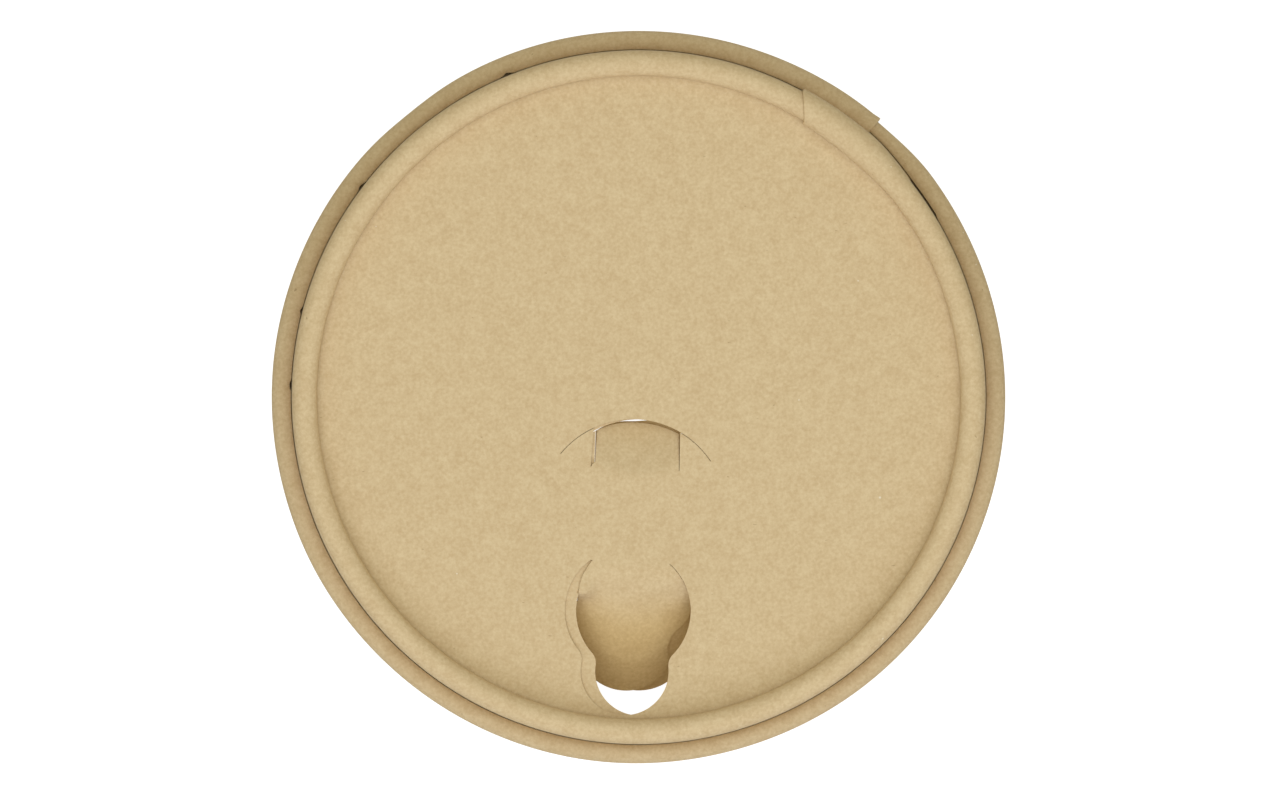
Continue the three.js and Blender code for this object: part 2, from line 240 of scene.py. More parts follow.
def trace_section(sizes):
    """Draws the outer face of the wall's section in the plane y = 0, from the hem to the bead's edge."""
    rim_radius = sizes.rim_width / 2
    wall_foot = sizes.bead_radius - 2 * sizes.bead_roll + sizes.board
    rim_outer = wall_foot - sizes.flare
    rim = Vector((rim_outer - rim_radius, 0, sizes.rim_top - rim_radius))
    bead = Vector((sizes.bead_radius - sizes.bead_roll, 0, sizes.bead_roll))
    deselect_all()
    bpy.ops.mesh.primitive_circle_add(
        vertices=ROLL_CORNERS, radius=rim_radius, location=rim, rotation=(math.radians(90), 0, 0)
    )
    wall = settle(bpy.context.object, "kraft_side_wall")
    select_corners(wall, corners(wall.data)[:, 2] < rim.z - TOUCH)
    bpy.ops.mesh.delete(type="VERT")
    bpy.ops.object.mode_set(mode="OBJECT")
    hem_foot = sizes.rim_top - sizes.recess + (sizes.layer - sizes.board) + PLATE_RISE
    to_hem_foot = Vector((0, 0, hem_foot - rim.z))
    extrude_corner(wall, Vector((rim.x - rim_radius, 0, rim.z)), to_hem_foot, HEM_STEPS)
    to_wall_foot = Vector((wall_foot - rim_outer, 0, bead.z - rim.z))
    extrude_corner(wall, Vector((rim_outer, 0, rim.z)), to_wall_foot, WALL_STEPS)
    curl = sizes.bead_roll - sizes.board
    free_angle = math.pi + math.acos(-(curl - BEAD_CLEARANCE) / sizes.bead_roll)
    places = corners(wall.data)
    foot = np.array((wall_foot, 0, bead.z))
    select_corners(wall, np.linalg.norm(places - foot, axis=1) < TOUCH)
    bpy.ops.mesh.spin(steps=BEAD_STEPS, angle=free_angle, center=bead, axis=(0, 1, 0))
    bpy.ops.mesh.select_all(action="SELECT")
    bpy.ops.mesh.remove_doubles(threshold=1e-7)
    bpy.ops.object.mode_set(mode="OBJECT")
    return wall, rim, bead


def extrude_corner(obj, start, move, steps):
    """Draws a straight line of short edges from the corner at start."""
    places = corners(obj.data)
    select_corners(obj, np.linalg.norm(places - np.array(start), axis=1) < TOUCH)
    for _ in range(steps):
        bpy.ops.mesh.extrude_region_move(TRANSFORM_OT_translate={"value": move / steps})
    bpy.ops.object.mode_set(mode="OBJECT")


def face_direction(places, rim, bead):
    """Which way the strip's outer face looks in the section, as (outward, up)."""
    radius = places[:, 0]
    height = places[:, 2]
    direction = np.zeros((len(places), 2))
    on_rim = height >= rim.z - 1e-7
    bead_from = rim.x + (bead.x - rim.x) / 2 + BEAD_START
    on_bead = (height <= bead.z + 1e-7) | (radius > bead_from)
    on_hem = ~on_rim & (radius < rim.x)
    direction[:, 0] = 1
    direction[on_hem] = (-1, 0)
    from_rim = np.stack((radius - rim.x, height - rim.z), axis=1)[on_rim]
    direction[on_rim] = from_rim / np.linalg.norm(from_rim, axis=1, keepdims=True)
    to_bead = np.stack((bead.x - radius, bead.z - height), axis=1)[on_bead]
    direction[on_bead] = to_bead / np.linalg.norm(to_bead, axis=1, keepdims=True)
    return direction


def shape_wall(wall, sizes, rim, bead, section, steps):
    """Lifts the strip onto its own start, leans its end, and makes its bead uneven."""
    places = corners(wall.data)
    count = len(section)
    total = len(places)
    radius = np.hypot(places[:, 0], places[:, 1])
    flat = np.stack((radius, np.zeros(total), places[:, 2]), axis=1)
    along = np.repeat(np.arange(steps + 1), count)[:total] * SPIN_STEP
    direction = face_direction(flat, rim, bead)
    climb = smoothstep(along, 2 * math.pi - CLIMB, 2 * math.pi)
    on_bead = flat[:, 0] > rim.x + sizes.rim_width / 2 + sizes.flare + TOUCH
    sink = START_SINK * on_bead * (1 - smoothstep(along, 0, START_RAMP))
    cut_end = along > along.max() - SPIN_STEP / 2
    lift = climb * sizes.layer - sink - cut_end * CUT_DROP
    radius = radius + direction[:, 0] * lift
    height = places[:, 2] + direction[:, 1] * lift
    azimuth = sizes.seam + along - cut_end * (SPIN_STEP - CUT_WIDTH / radius)
    wall_foot = sizes.bead_radius - 2 * sizes.bead_roll + sizes.board
    beyond = np.clip((radius - wall_foot) / (2 * sizes.bead_roll), 0, 1)
    radius = radius + beyond * bulge(azimuth, BULGES)
    turn = np.arctan2(height - bead.z, bead.x - radius)
    free_edge = 1 - smoothstep(turn, *FREE_EDGE)
    free_edge = np.where((radius > wall_foot + NEAR) & (height > bead.z), free_edge, 0)
    start, end, gap = OPEN_CREVICE
    degrees = np.degrees(azimuth) % 360
    opened = smoothstep(degrees, start, start + CREVICE_OPENS)
    opened = opened * (1 - smoothstep(degrees, end - CREVICE_CLOSES, end))
    radius = radius + free_edge * (bulge(azimuth, NOTCHES) + gap * opened)
    rim_outer = wall_foot - sizes.flare
    inward = np.clip((rim_outer - radius) / sizes.rim_width, 0, 1)
    strip_end = 2 * math.pi + sizes.lap
    near_end = smoothstep(along, strip_end - SLANT_RAMP, strip_end)
    azimuth = azimuth - near_end * inward * sizes.slant
    height = np.maximum(height, sizes.board)
    moved = np.stack((radius * np.cos(azimuth), radius * np.sin(azimuth), height), axis=1)
    move_corners(wall.data, moved)


def model_side_wall(sizes):
    wall, rim, bead = trace_section(sizes)
    section = corners(wall.data)
    steps = round((2 * math.pi + sizes.lap) / SPIN_STEP)
    bpy.ops.object.mode_set(mode="EDIT")
    bpy.ops.mesh.select_mode(type="VERT")
    bpy.ops.mesh.select_all(action="SELECT")
    bpy.ops.mesh.spin(steps=steps, angle=steps * SPIN_STEP, center=(0, 0, 0), axis=(0, 0, 1))
    bpy.ops.object.mode_set(mode="OBJECT")
    shape_wall(wall, sizes, rim, bead, section, steps)
    face_outward(wall)
    finish_board(wall, sizes.board)
    return wall


def face_outward(wall):
    """Turns all faces so that the rim's crest looks up."""
    mesh = wall.data
    crest = max(mesh.polygons, key=lambda face: face.center.z)
    if crest.normal.z < 0:
        bpy.ops.object.mode_set(mode="EDIT")
        bpy.ops.mesh.select_all(action="SELECT")
        bpy.ops.mesh.flip_normals()
        bpy.ops.object.mode_set(mode="OBJECT")


# The discs

GRID_CELLS = 170
KERF = 0.06 * MM
TAB_KERF = 1.3 * KERF  # the slit and the tab's sides are cut wider
RULE_HEIGHT = 1 * MM
SHEET_MARGIN = 0.5 * MM  # the uncut sheet reaches this far past the round edge
TAB_LEAN = 0.08 * MM  # half of the lean of each of the tab's side cuts
NECK_CREASE_AT = 14.6 * MM  # from the fold to the crease at the flap's neck
NECK_CREASE_BOW = 2.4 * MM
NECK_CREASE_SOFT = 0.25 * MM  # length over which it is rounded
NECK_HALF = 4.6 * MM
BOW_RAMP = (0.5 * MM, 8 * MM)  # distances from the fold between which the flap's bow grows
LOWER_FLAP_GAP = 0.15 * MM  # more room between the two flaps than between the two plates
LOWER_FLAP_RAMP = 4 * MM
LEFT_PINCH = (  # distance from the fold and how far the flap's left edge is pushed in there
    (0, 0.2 * MM),
    (1.2 * MM, 0.67 * MM),
    (2.1 * MM, 0.85 * MM),
    (3.3 * MM, 1.18 * MM),
    (4.6 * MM, 1.46 * MM),
    (5.8 * MM, 1.62 * MM),
    (7.2 * MM, 0.5 * MM),
    (9.0 * MM, 0),
)
RIGHT_PINCH = (10.2 * MM, 1.7 * MM, 1.15 * MM)  # the same for the right edge: where, how long, how far
LEFT_REST = (4.4 * MM, 5.8 * MM)  # between these distances the left edge leaves the lower disc
LEFT_LIP = (1.28 * MM, 4.48 * MM)  # what rests there ends this far in from the edge
TAB_SOFT = 1.2 * MM  # length of the bend at the tab's crease
TAB_EASE = 3 * MM  # the tab's left edge is moved in, and less so up to this far from it
TAB_CLEARANCE = 0.05 * MM  # more room from there to the lower disc's cut, and between the two tabs
TAB_TAPER = 0.02  # share of its width that the upper tab loses toward its tip
TAB_LONGER = 0.42 * MM  # how much longer the lower tab is
GLEAM = (-0.3 * MM, 1.6 * MM, 0.22 * MM)  # where light shows at its tip, how wide, how much shorter it is
WAVES_END = (36 * MM, 40 * MM)  # radii between which the plate's waves fade
RISE_START, RISE_END = 40.4 * MM, 41.5 * MM


class Pattern:
    """The pattern cut in a disc. Across runs to the right and reach toward the sip opening's end."""

    def __init__(self, sizes, turn):
        self.sizes = sizes
        self.turn = turn
        self.tip = sizes.opening_end - sizes.tip_radius
        self.bulb = self.tip - sizes.bulb_to_tip
        self.hinge = self.bulb - sizes.hinge_to_bulb
        span = sizes.bulb_to_tip
        to_bulb = sizes.bulb_radius + sizes.neck_fillet
        to_tip = sizes.tip_radius + sizes.neck_fillet
        along = (span * span + to_bulb * to_bulb - to_tip * to_tip) / (2 * span)
        self.neck = self.bulb + along
        self.neck_out = math.sqrt(to_bulb * to_bulb - along * along)
        self.neck_from = self.bulb + along * sizes.bulb_radius / to_bulb
        self.neck_to = self.tip - (span - along) * sizes.tip_radius / to_tip
        self.slit_centre = sizes.slit_reach + sizes.slit_radius
        self.crease = sizes.slit_reach + sizes.tab_length

    def read(self, places):
        """Across and reach of points given in the lid's frame."""
        cos, sin = math.cos(self.turn), math.sin(self.turn)
        across = places[:, 0] * cos + places[:, 1] * sin
        reach = places[:, 0] * sin - places[:, 1] * cos
        return across, reach

    def place(self, across, reach):
        """Points in the lid's frame, from across and reach."""
        cos, sin = math.cos(self.turn), math.sin(self.turn)
        return across * cos + reach * sin, across * sin - reach * cos

    def half_width(self, reach):
        sizes = self.sizes

        def chord(radius, offset):
            return np.sqrt(np.maximum(radius * radius - offset * offset, 0))

        return np.where(
            reach < self.neck_from,
            chord(sizes.bulb_radius, reach - self.bulb),
            np.where(
                reach < self.neck_to,
                self.neck_out - chord(sizes.neck_fillet, reach - self.neck),
                chord(sizes.tip_radius, reach - self.tip),
            ),
        )

    def slit_at(self, across):
        return self.slit_centre - np.sqrt(self.sizes.slit_radius**2 - across**2)

    def crease_at(self, across):
        return self.crease - self.sizes.crease_bow * (across / self.sizes.tab_half) ** 2

    def opening_line(self):
        """The opening's outline, from the fold's left end round the tip to its right end."""
        sizes = self.sizes
        fold_angle = math.asin((self.hinge - self.bulb) / sizes.bulb_radius)
        bulb_end = math.asin((self.neck_from - self.bulb) / sizes.bulb_radius)
        tip_start = math.asin((self.neck_to - self.tip) / sizes.tip_radius)
        bulb = arc((0, self.bulb), sizes.bulb_radius, fold_angle, bulb_end, 40)
        hollow = (self.neck_out, self.neck)
        neck = arc(hollow, sizes.neck_fillet, math.pi + bulb_end, math.pi + tip_start, 14)
        tip = arc((0, self.tip), sizes.tip_radius, tip_start, math.pi / 2, 40)
        right = np.concatenate((bulb[:-1], neck[:-1], tip))
        left = right * (-1, 1)
        return np.concatenate((left[:-1], right[::-1]))

    def slit_line(self):
        half = math.asin(self.sizes.slit_chord / self.sizes.slit_radius)
        centre = (0, self.slit_centre)
        return arc(centre, self.sizes.slit_radius, -math.pi / 2 - half, -math.pi / 2 + half, 60)

    def tab_side_line(self, side):
        """A short cut from the slit to the crease, leaning a little outward."""
        half = self.sizes.tab_half
        start = (side * (half - TAB_LEAN), float(self.slit_at(half)))
        end = (side * (half + TAB_LEAN), float(self.crease_at(half)))
        return np.linspace(start, end, 12)


def arc(centre, radius, start, end, steps):
    turn = np.linspace(start, end, steps + 1)
    return np.stack((centre[0] + radius * np.cos(turn), centre[1] + radius * np.sin(turn)), axis=1)


def band_outline(line, width):
    """A closed outline round a line, as wide as a cut made along it."""
    step = np.gradient(line, axis=0)
    normal = np.stack((-step[:, 1], step[:, 0]), axis=1)
    normal /= np.linalg.norm(normal, axis=1, keepdims=True)
    half = width / 2
    band = np.concatenate((line + normal * half, (line - normal * half)[::-1]))
    return np.concatenate((band, band[:1]))


def add_rule(outline, height):
    """A cutting rule: an upright strip that follows an outline through the sheet."""
    deselect_all()
    bpy.ops.mesh.primitive_grid_add(x_subdivisions=len(outline) - 1, y_subdivisions=1, size=1)
    rule = settle(bpy.context.object, "rule")
    grid = corners(rule.data)
    column = np.rint((grid[:, 0] + 0.5) * (len(outline) - 1)).astype(int)
    upper = np.where(grid[:, 1] > 0, 1, -1)
    places = np.column_stack((outline[column], height + upper * RULE_HEIGHT))
    move_corners(rule.data, places)
    return rule


def distance_to_line(points, line):
    """Shortest distance from each point to a line of short straight pieces."""
    best = np.full(len(points), np.inf)
    for start, end in zip(line[:-1], line[1:]):
        piece = end - start
        share = np.clip(((points - start) @ piece) / (piece @ piece), 0, 1)
        nearest = start + share[:, None] * piece
        best = np.minimum(best, np.linalg.norm(points - nearest, axis=1))
    return best


def cut_sheet(name, pattern, height, radius):
    """A flat round sheet with the pattern cut in it."""
    lines = [
        (pattern.opening_line(), KERF),
        (pattern.slit_line(), TAB_KERF),
        (pattern.tab_side_line(-1), TAB_KERF),
        (pattern.tab_side_line(1), TAB_KERF),
    ]
    rules = []
    for line, width in lines:
        x, y = pattern.place(*band_outline(line, width).T)
        rules.append(add_rule(np.column_stack((x, y)), height))
    rim = arc((0, 0), radius, 0, 2 * math.pi, 540)
    rules.append(add_rule(rim, height))
    deselect_all()
    bpy.ops.mesh.primitive_grid_add(
        x_subdivisions=GRID_CELLS,
        y_subdivisions=GRID_CELLS,
        size=2 * (radius + SHEET_MARGIN),
        location=(0, 0, height),
    )
    sheet = settle(bpy.context.object, name)
    for rule in rules:
        rule.select_set(True)
    sheet.select_set(True)
    bpy.context.view_layer.objects.active = sheet
    bpy.ops.object.join()
    select_upright_faces(sheet)
    bpy.ops.mesh.intersect(mode="SELECT_UNSELECT", separate_mode="CUT", threshold=1e-8, solver="EXACT")
    bpy.ops.object.mode_set(mode="OBJECT")
    select_upright_faces(sheet)
    bpy.ops.mesh.delete(type="FACE")
    bpy.ops.object.mode_set(mode="OBJECT")
    centres = face_centres(sheet.data)
    across, reach = pattern.read(centres)
    flat = np.column_stack((across, reach))
    waste = np.hypot(centres[:, 0], centres[:, 1]) > radius
    for line, width in lines:
        waste |= distance_to_line(flat, line) < width / 2
    select_faces(sheet, waste)
    bpy.ops.mesh.delete(type="FACE")
    bpy.ops.mesh.select_all(action="SELECT")
    bpy.ops.mesh.remove_doubles(threshold=1e-8)
    bpy.ops.mesh.quads_convert_to_tris(quad_method="BEAUTY", ngon_method="BEAUTY")
    bpy.ops.object.mode_set(mode="OBJECT")
    return sheet


def face_centres(mesh):
    flat = np.empty(len(mesh.polygons) * 3)
    mesh.polygons.foreach_get("center", flat)
    return flat.reshape(-1, 3)


def select_faces(obj, chosen):
    bpy.ops.object.mode_set(mode="EDIT")
    bpy.ops.mesh.select_mode(type="FACE")
    bpy.ops.mesh.select_all(action="DESELECT")
    bpy.ops.object.mode_set(mode="OBJECT")
    obj.data.polygons.foreach_set("select", np.asarray(chosen, dtype=bool))
    bpy.ops.object.mode_set(mode="EDIT")


def select_upright_faces(obj):
    normals = np.empty(len(obj.data.polygons) * 3)
    obj.data.polygons.foreach_get("normal", normals)
    select_faces(obj, np.abs(normals.reshape(-1, 3)[:, 2]) < 0.5)


def turn_up_flange(disc, sizes, plate_radius, height, flange_top):
    """Extrudes the sheet's round edge along the bend and up the flange."""
    select_round_edge(disc, plate_radius)
    inner_bend = sizes.flange_bend - sizes.board
    bend_steps = 6
    radius = plate_radius
    level = height
    for step in range(1, bend_steps + 1):
        turn = math.pi / 2 * step / bend_steps
        next_radius = plate_radius + inner_bend * math.sin(turn)
        next_level = height + inner_bend * (1 - math.cos(turn))
        raise_ring(next_radius / radius, next_level - level)
        radius, level = next_radius, next_level
    raise_ring(1, flange_top - level)
    bpy.ops.object.mode_set(mode="OBJECT")


def select_round_edge(disc, radius):
    """Goes to edit mode with the open edges of a round sheet's outline selected."""
    edges = np.empty(len(disc.data.edges) * 2, dtype=int)
    disc.data.edges.foreach_get("vertices", edges)
    edges = edges.reshape(-1, 2)
    places = corners(disc.data)
    on_outline = np.abs(np.hypot(places[:, 0], places[:, 1]) - radius) < NEAR
    faces_beside = np.zeros(len(edges), dtype=int)
    loops = np.empty(len(disc.data.loops), dtype=int)
    disc.data.loops.foreach_get("edge_index", loops)
    np.add.at(faces_beside, loops, 1)
    chosen = (faces_beside == 1) & on_outline[edges].all(axis=1)
    bpy.ops.object.mode_set(mode="EDIT")
    bpy.ops.mesh.select_mode(type="EDGE")
    bpy.ops.mesh.select_all(action="DESELECT")
    bpy.ops.object.mode_set(mode="OBJECT")
    disc.data.edges.foreach_set("select", chosen)
    bpy.ops.object.mode_set(mode="EDIT")


def raise_ring(scale, rise):
    bpy.ops.mesh.extrude_edges_move(TRANSFORM_OT_translate={"value": (0, 0, rise)})
    bpy.ops.transform.resize(value=(scale, scale, 1), center_override=(0, 0, 0))


def bend_flap(places, own, guide, depth):
    """Bends the sip flap. guide is the upper disc's pattern, along whose axis both flaps are bent,
    and depth is how far this disc lies below the upper one."""
    sizes = guide.sizes
    across, reach = own.read(places)
    on_flap = (reach > own.hinge) & (np.abs(across) < own.half_width(reach)) & (reach < sizes.opening_end)
    across, reach = guide.read(places[on_flap])
    flap_length = sizes.opening_end - guide.hinge
    distance = np.maximum(reach - guide.hinge, 0)
    half_width = guide.half_width(np.maximum(reach, guide.hinge))
    resting = 0
    if depth == 0:
        across, resting = pinch_flap(across, half_width, distance)
    share = across / sizes.bulb_radius
    run, drop = follow_bend(distance, sizes, flap_length, depth)
    crease = NECK_CREASE_AT - NECK_CREASE_BOW * (across / NECK_HALF) ** 2
    crease_run, crease_drop = follow_bend(crease, sizes, flap_length, depth)
    beyond = smoothstep(distance - crease, 0, NECK_CREASE_SOFT) * sizes.neck_crease
    ahead, below = run - crease_run, drop - crease_drop
    run = np.where(beyond > 0, crease_run + ahead * np.cos(beyond) - below * np.sin(beyond), run)
    drop = np.where(beyond > 0, crease_drop + below * np.cos(beyond) + ahead * np.sin(beyond), drop)
    drop = drop + sizes.flap_bow * share**2 * smoothstep(distance, *BOW_RAMP)
    run = np.where(reach < guide.hinge, reach - guide.hinge, run)
    drop = drop * (1 - resting)
    if depth > 0:
        drop = drop + LOWER_FLAP_GAP * smoothstep(distance, 0, LOWER_FLAP_RAMP)
    places[on_flap, 0], places[on_flap, 1] = guide.place(across, guide.hinge + run)
    places[on_flap, 2] -= drop
    return places


def follow_bend(distance, sizes, flap_length, depth):
    """Run and drop of a flap at distances from its fold, for a board that lies depth below the upper
    one and follows it."""
    fold = 5 * MM
    stations = np.linspace(0, 1.2 * flap_length, 600)
    past_fold = 1 - (1 - np.clip(stations / fold, 0, 1)) ** 2
    turn = sizes.flap_slope * past_fold + sizes.flap_curl * stations / flap_length
    step = stations[1]
    run = np.concatenate(([0], np.cumsum(np.cos(turn[:-1]) * step))) - depth * np.sin(turn)
    drop = np.concatenate(([0], np.cumsum(np.sin(turn[:-1]) * step))) - depth * (1 - np.cos(turn))
    along = stations - depth * turn
    return tuple(np.interp(distance, along, values) for values in (run, drop))


def pinch_flap(across, half_width, distance):
    """Pushes the upper flap's edges in where they had to pass the lower disc's opening. Also gives
    how much of its drop the left edge lacks, where it still rests on the lower disc."""
    ease = 4.5 * MM
    near_left = np.clip(1 - (across + half_width) / ease, 0, 1) ** 1.5
    near_right = np.clip(1 - (half_width - across) / ease, 0, 1) ** 2
    left = np.interp(distance, *zip(*LEFT_PINCH))
    where, spread, push = RIGHT_PINCH
    right = push * np.exp(-(((distance - where) / spread) ** 2))
    ride = 1 - smoothstep(distance, *LEFT_REST)
    lip = 1 - smoothstep(across + half_width, *LEFT_LIP)
    return across + left * near_left - right * near_right, lip * ride


def bend_tab(places, own, guide, depth):
    """Presses the tab down about its bowed crease. The upper tab is narrowed where it passes the
    lower disc, and the lower tab is a little longer."""
    sizes = guide.sizes
    across, reach = own.read(places)
    half = sizes.tab_half + TAB_LEAN
    on_tab = (np.abs(across) < half) & (reach > own.slit_at(np.clip(across, -half, half)))
    on_tab &= reach < own.crease_at(across)
    on_tab &= np.abs(across) < np.interp(
        reach,
        (own.slit_at(sizes.tab_half), own.crease_at(sizes.tab_half)),
        (sizes.tab_half - TAB_LEAN, sizes.tab_half + TAB_LEAN),
    )
    across, reach = guide.read(places[on_tab])
    crease = guide.crease_at(across)
    distance = np.maximum(crease - reach, 0)
    turn = np.maximum(np.clip(distance / TAB_SOFT, 0, 1) * sizes.tab_bend, 1e-9)
    curved = np.minimum(distance, TAB_SOFT)
    beyond = np.maximum(distance - TAB_SOFT, 0)
    run = curved * np.sin(turn) / turn + beyond * math.cos(sizes.tab_bend)
    drop = curved * (1 - np.cos(turn)) / turn + beyond * math.sin(sizes.tab_bend)
    if depth == 0:
        near_left = np.clip(1 - (across + half) / TAB_EASE, 0, 1)
        past_lower_edge = (sizes.under_turn - sizes.top_turn) * reach + TAB_CLEARANCE
        across = across * (1 - TAB_TAPER * smoothstep(distance, 0.5 * MM, 6 * MM))
        across = across + past_lower_edge * near_left * smoothstep(distance, 0, 0.8 * MM)
    else:
        where, spread, shorter = GLEAM
        gleam = np.exp(-(((across - where) / spread) ** 2))
        longer = (TAB_LONGER - shorter * gleam) * smoothstep(distance, 3 * MM, 7 * MM)
        run = run + longer
        apart = TAB_CLEARANCE * smoothstep(distance, 0, 2 * MM)
        drop = drop + longer * math.tan(sizes.tab_bend) + apart
    places[on_tab, 0], places[on_tab, 1] = guide.place(across, crease - run)
    places[on_tab, 2] -= drop
    return places


def relax_plate(places):
    """Leaves the plate a little uneven, and lets it rise softly toward the rim."""
    wave_length, wave_height = 18 * MM, 0.05 * MM
    radius = np.hypot(places[:, 0], places[:, 1])
    waves = np.array([noise.noise(Vector((x / wave_length, y / wave_length, 0))) for x, y in places[:, :2]])
    fade = 1 - smoothstep(radius, *WAVES_END)
    rise = PLATE_RISE * smoothstep(radius, RISE_START, RISE_END)
    places[:, 2] += wave_height * waves * fade + rise
    return places


def model_disc(name, sizes, own_turn, depth, flange_radius):
    height = sizes.plate_top - depth
    plate_radius = flange_radius - sizes.flange_bend
    own = Pattern(sizes, own_turn)
    guide = Pattern(sizes, sizes.top_turn)
    disc = cut_sheet(name, own, height, plate_radius)
    places = relax_plate(corners(disc.data))
    places = bend_flap(places, own, guide, depth)
    places = bend_tab(places, own, guide, depth)
    move_corners(disc.data, places)
    turn_up_flange(disc, sizes, plate_radius, height + PLATE_RISE, sizes.flange_top - 0.02 * MM)
    look_up(disc)
    finish_board(disc, sizes.board)
    return disc


def look_up(disc):
    """Turns the sheet's faces so that the plate looks up."""
    mesh = disc.data
    plate = max(mesh.polygons, key=lambda face: face.area)
    if plate.normal.z < 0:
        bpy.ops.object.mode_set(mode="EDIT")
        bpy.ops.mesh.select_all(action="SELECT")
        bpy.ops.mesh.flip_normals()
        bpy.ops.object.mode_set(mode="OBJECT")


# Materials

class Value:
    """A number socket in a shader; arithmetic on it adds Math nodes."""

    def __init__(self, shader, socket):
        self.shader = shader
        self.socket = socket

    def combine(self, operation, *others):
        inputs = {index: value for index, value in enumerate((self, *others))}
        return self.shader.node("ShaderNodeMath", {"operation": operation}, inputs).value("Value")

    def __add__(self, other):
        return self.combine("ADD", other)

    def __mul__(self, other):
        return self.combine("MULTIPLY", other)

    def __sub__(self, other):
        return self.combine("SUBTRACT", other)

    def __rsub__(self, other):
        return (self * -1).combine("ADD", other)

    __radd__ = __add__
    __rmul__ = __mul__

    def above(self, edge, width):
        """0 below the edge, 1 past its width, and smooth between."""
        inputs = {"Value": self, "From Min": edge, "From Max": edge + width}
        settings = {"interpolation_type": "SMOOTHSTEP"}
        return self.shader.node("ShaderNodeMapRange", settings, inputs).value("Result")


class Step:
    """A node in a shader, from which named outputs are read."""

    def __init__(self, shader, node):
        self.shader = shader
        self.node = node

    def value(self, name):
        return Value(self.shader, self.socket(name))

    def socket(self, name):
        return next(output for output in self.node.outputs if output.name == name and output.enabled)


class Shader:
    """A material whose nodes are made by one method."""

    def __init__(self, name):
        self.material = bpy.data.materials.new(name)
        self.material.use_nodes = True
        self.tree = self.material.node_tree
        self.surface = self.tree.nodes["Principled BSDF"]

    def node(self, kind, settings, inputs):
        node = self.tree.nodes.new(kind)
        for name, value in settings.items():
            setattr(node, name, value)
        for name, value in inputs.items():
            self.feed(self.input(node, name), value)
        return Step(self, node)

    def input(self, node, name):
        if isinstance(name, int):
            return node.inputs[name]
        return next(socket for socket in node.inputs if socket.name == name and socket.enabled)

    def feed(self, socket, value):
        if isinstance(value, Value):
            value = value.socket
        if isinstance(value, bpy.types.NodeSocket):
            self.tree.links.new(value, socket)
        else:
            socket.default_value = value

    def coordinates(self):
        return self.node("ShaderNodeTexCoord", {}, {}).socket("Object")

    def noise(self, vector, size, detail=2.0, roughness=0.5):
        inputs = {"Vector": vector, "Scale": 1 / size, "Detail": detail, "Roughness": roughness}
        return self.node("ShaderNodeTexNoise", {}, inputs).value("Fac")

    def mix(self, factor, first, second, blend="MIX"):
        settings = {"data_type": "RGBA", "blend_type": blend}
        inputs = {"Factor": factor, "A": first, "B": second}
        return self.node("ShaderNodeMix", settings, inputs).socket("Result")


MOTTLE_SIZE = 1.8 * MM
GRAIN_SIZE = 0.45 * MM
FIBRE_SIZE = 0.9 * MM
SPECK_SIZE = 0.7 * MM
FIBRE_EDGE = (0.79, 0.04)  # the noise above which a fibre shows, and how softly it begins
SPECK_EDGE = (0.9, 0.03)
PAINTED_SHADE_EDGE = (0.5 * MM, 4.5 * MM)  # how far below the plate the painted shade begins, and over which depth it grows


def kraft_material(name, look, stretch, painted_shade_share):
    """Matt brown board with a cloudy tone, fine grain, dark fibres and a few light specks. With a share of
    1 as the last argument, painted shade is multiplied in: what hangs below the plate is tinted browner,
    the more so the deeper it hangs."""
    shader = Shader(name)
    here = shader.coordinates()
    mottle = shader.noise(here, MOTTLE_SIZE, 3, 0.6) - 0.5
    grain = shader.noise(here, GRAIN_SIZE, 3, 0.65) - 0.5
    tone = mottle * look.mottle + grain * look.grain + 0.5
    toned = shader.mix(tone, (*look.deep, 1), (*look.pale, 1))
    level = shader.node("ShaderNodeSeparateXYZ", {}, {"Vector": here}).value("Z")
    # Painted shade: the board is tinted browner the deeper it hangs below the plate
    painted_shade = ((RIM_TOP - RECESS) - level).above(*PAINTED_SHADE_EDGE) * painted_shade_share
    toned = shader.mix(painted_shade, toned, (*look.painted_shade, 1), "MULTIPLY")
    stretched = shader.node("ShaderNodeMapping", {}, {"Vector": here, "Scale": stretch})
    fibres = shader.noise(stretched.socket("Vector"), FIBRE_SIZE, 1, 0.5)
    fibre_mask = fibres.above(*FIBRE_EDGE) * 0.5
    colour_now = shader.mix(fibre_mask, toned, (*look.fibre, 1))
    specks = shader.noise(here, SPECK_SIZE, 0, 0.5).above(*SPECK_EDGE) * 0.6
    colour_now = shader.mix(specks, colour_now, (*look.speck, 1))
    shader.feed(shader.input(shader.surface, "Base Color"), colour_now)
    shader.feed(shader.input(shader.surface, "Roughness"), look.roughness)
    shader.surface.inputs["Specular IOR Level"].default_value = 0.25
    relief = grain * 0.6 + mottle * 0.4
    bump = shader.node(
        "ShaderNodeBump", {}, {"Strength": 0.25, "Distance": 0.05 * MM, "Height": relief}
    ).socket("Normal")
    shader.feed(shader.input(shader.surface, "Normal"), bump)
    return shader.material


# Operators

class CUPLID_OT_side_wall(bpy.types.Operator):
    """Models the side wall with its rolled rim and bead"""
    bl_idname = "cuplid.side_wall"
    bl_label = "Side wall"

    def execute(self, context):
        wall = model_side_wall(context.scene.lid_wall)
        wall.data.materials.append(kraft_material("kraft_wall", context.scene.lid_look, (1, 1, 2.5), 0))
        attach(wall, "root")
        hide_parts("side_wall")
        return {"FINISHED"}


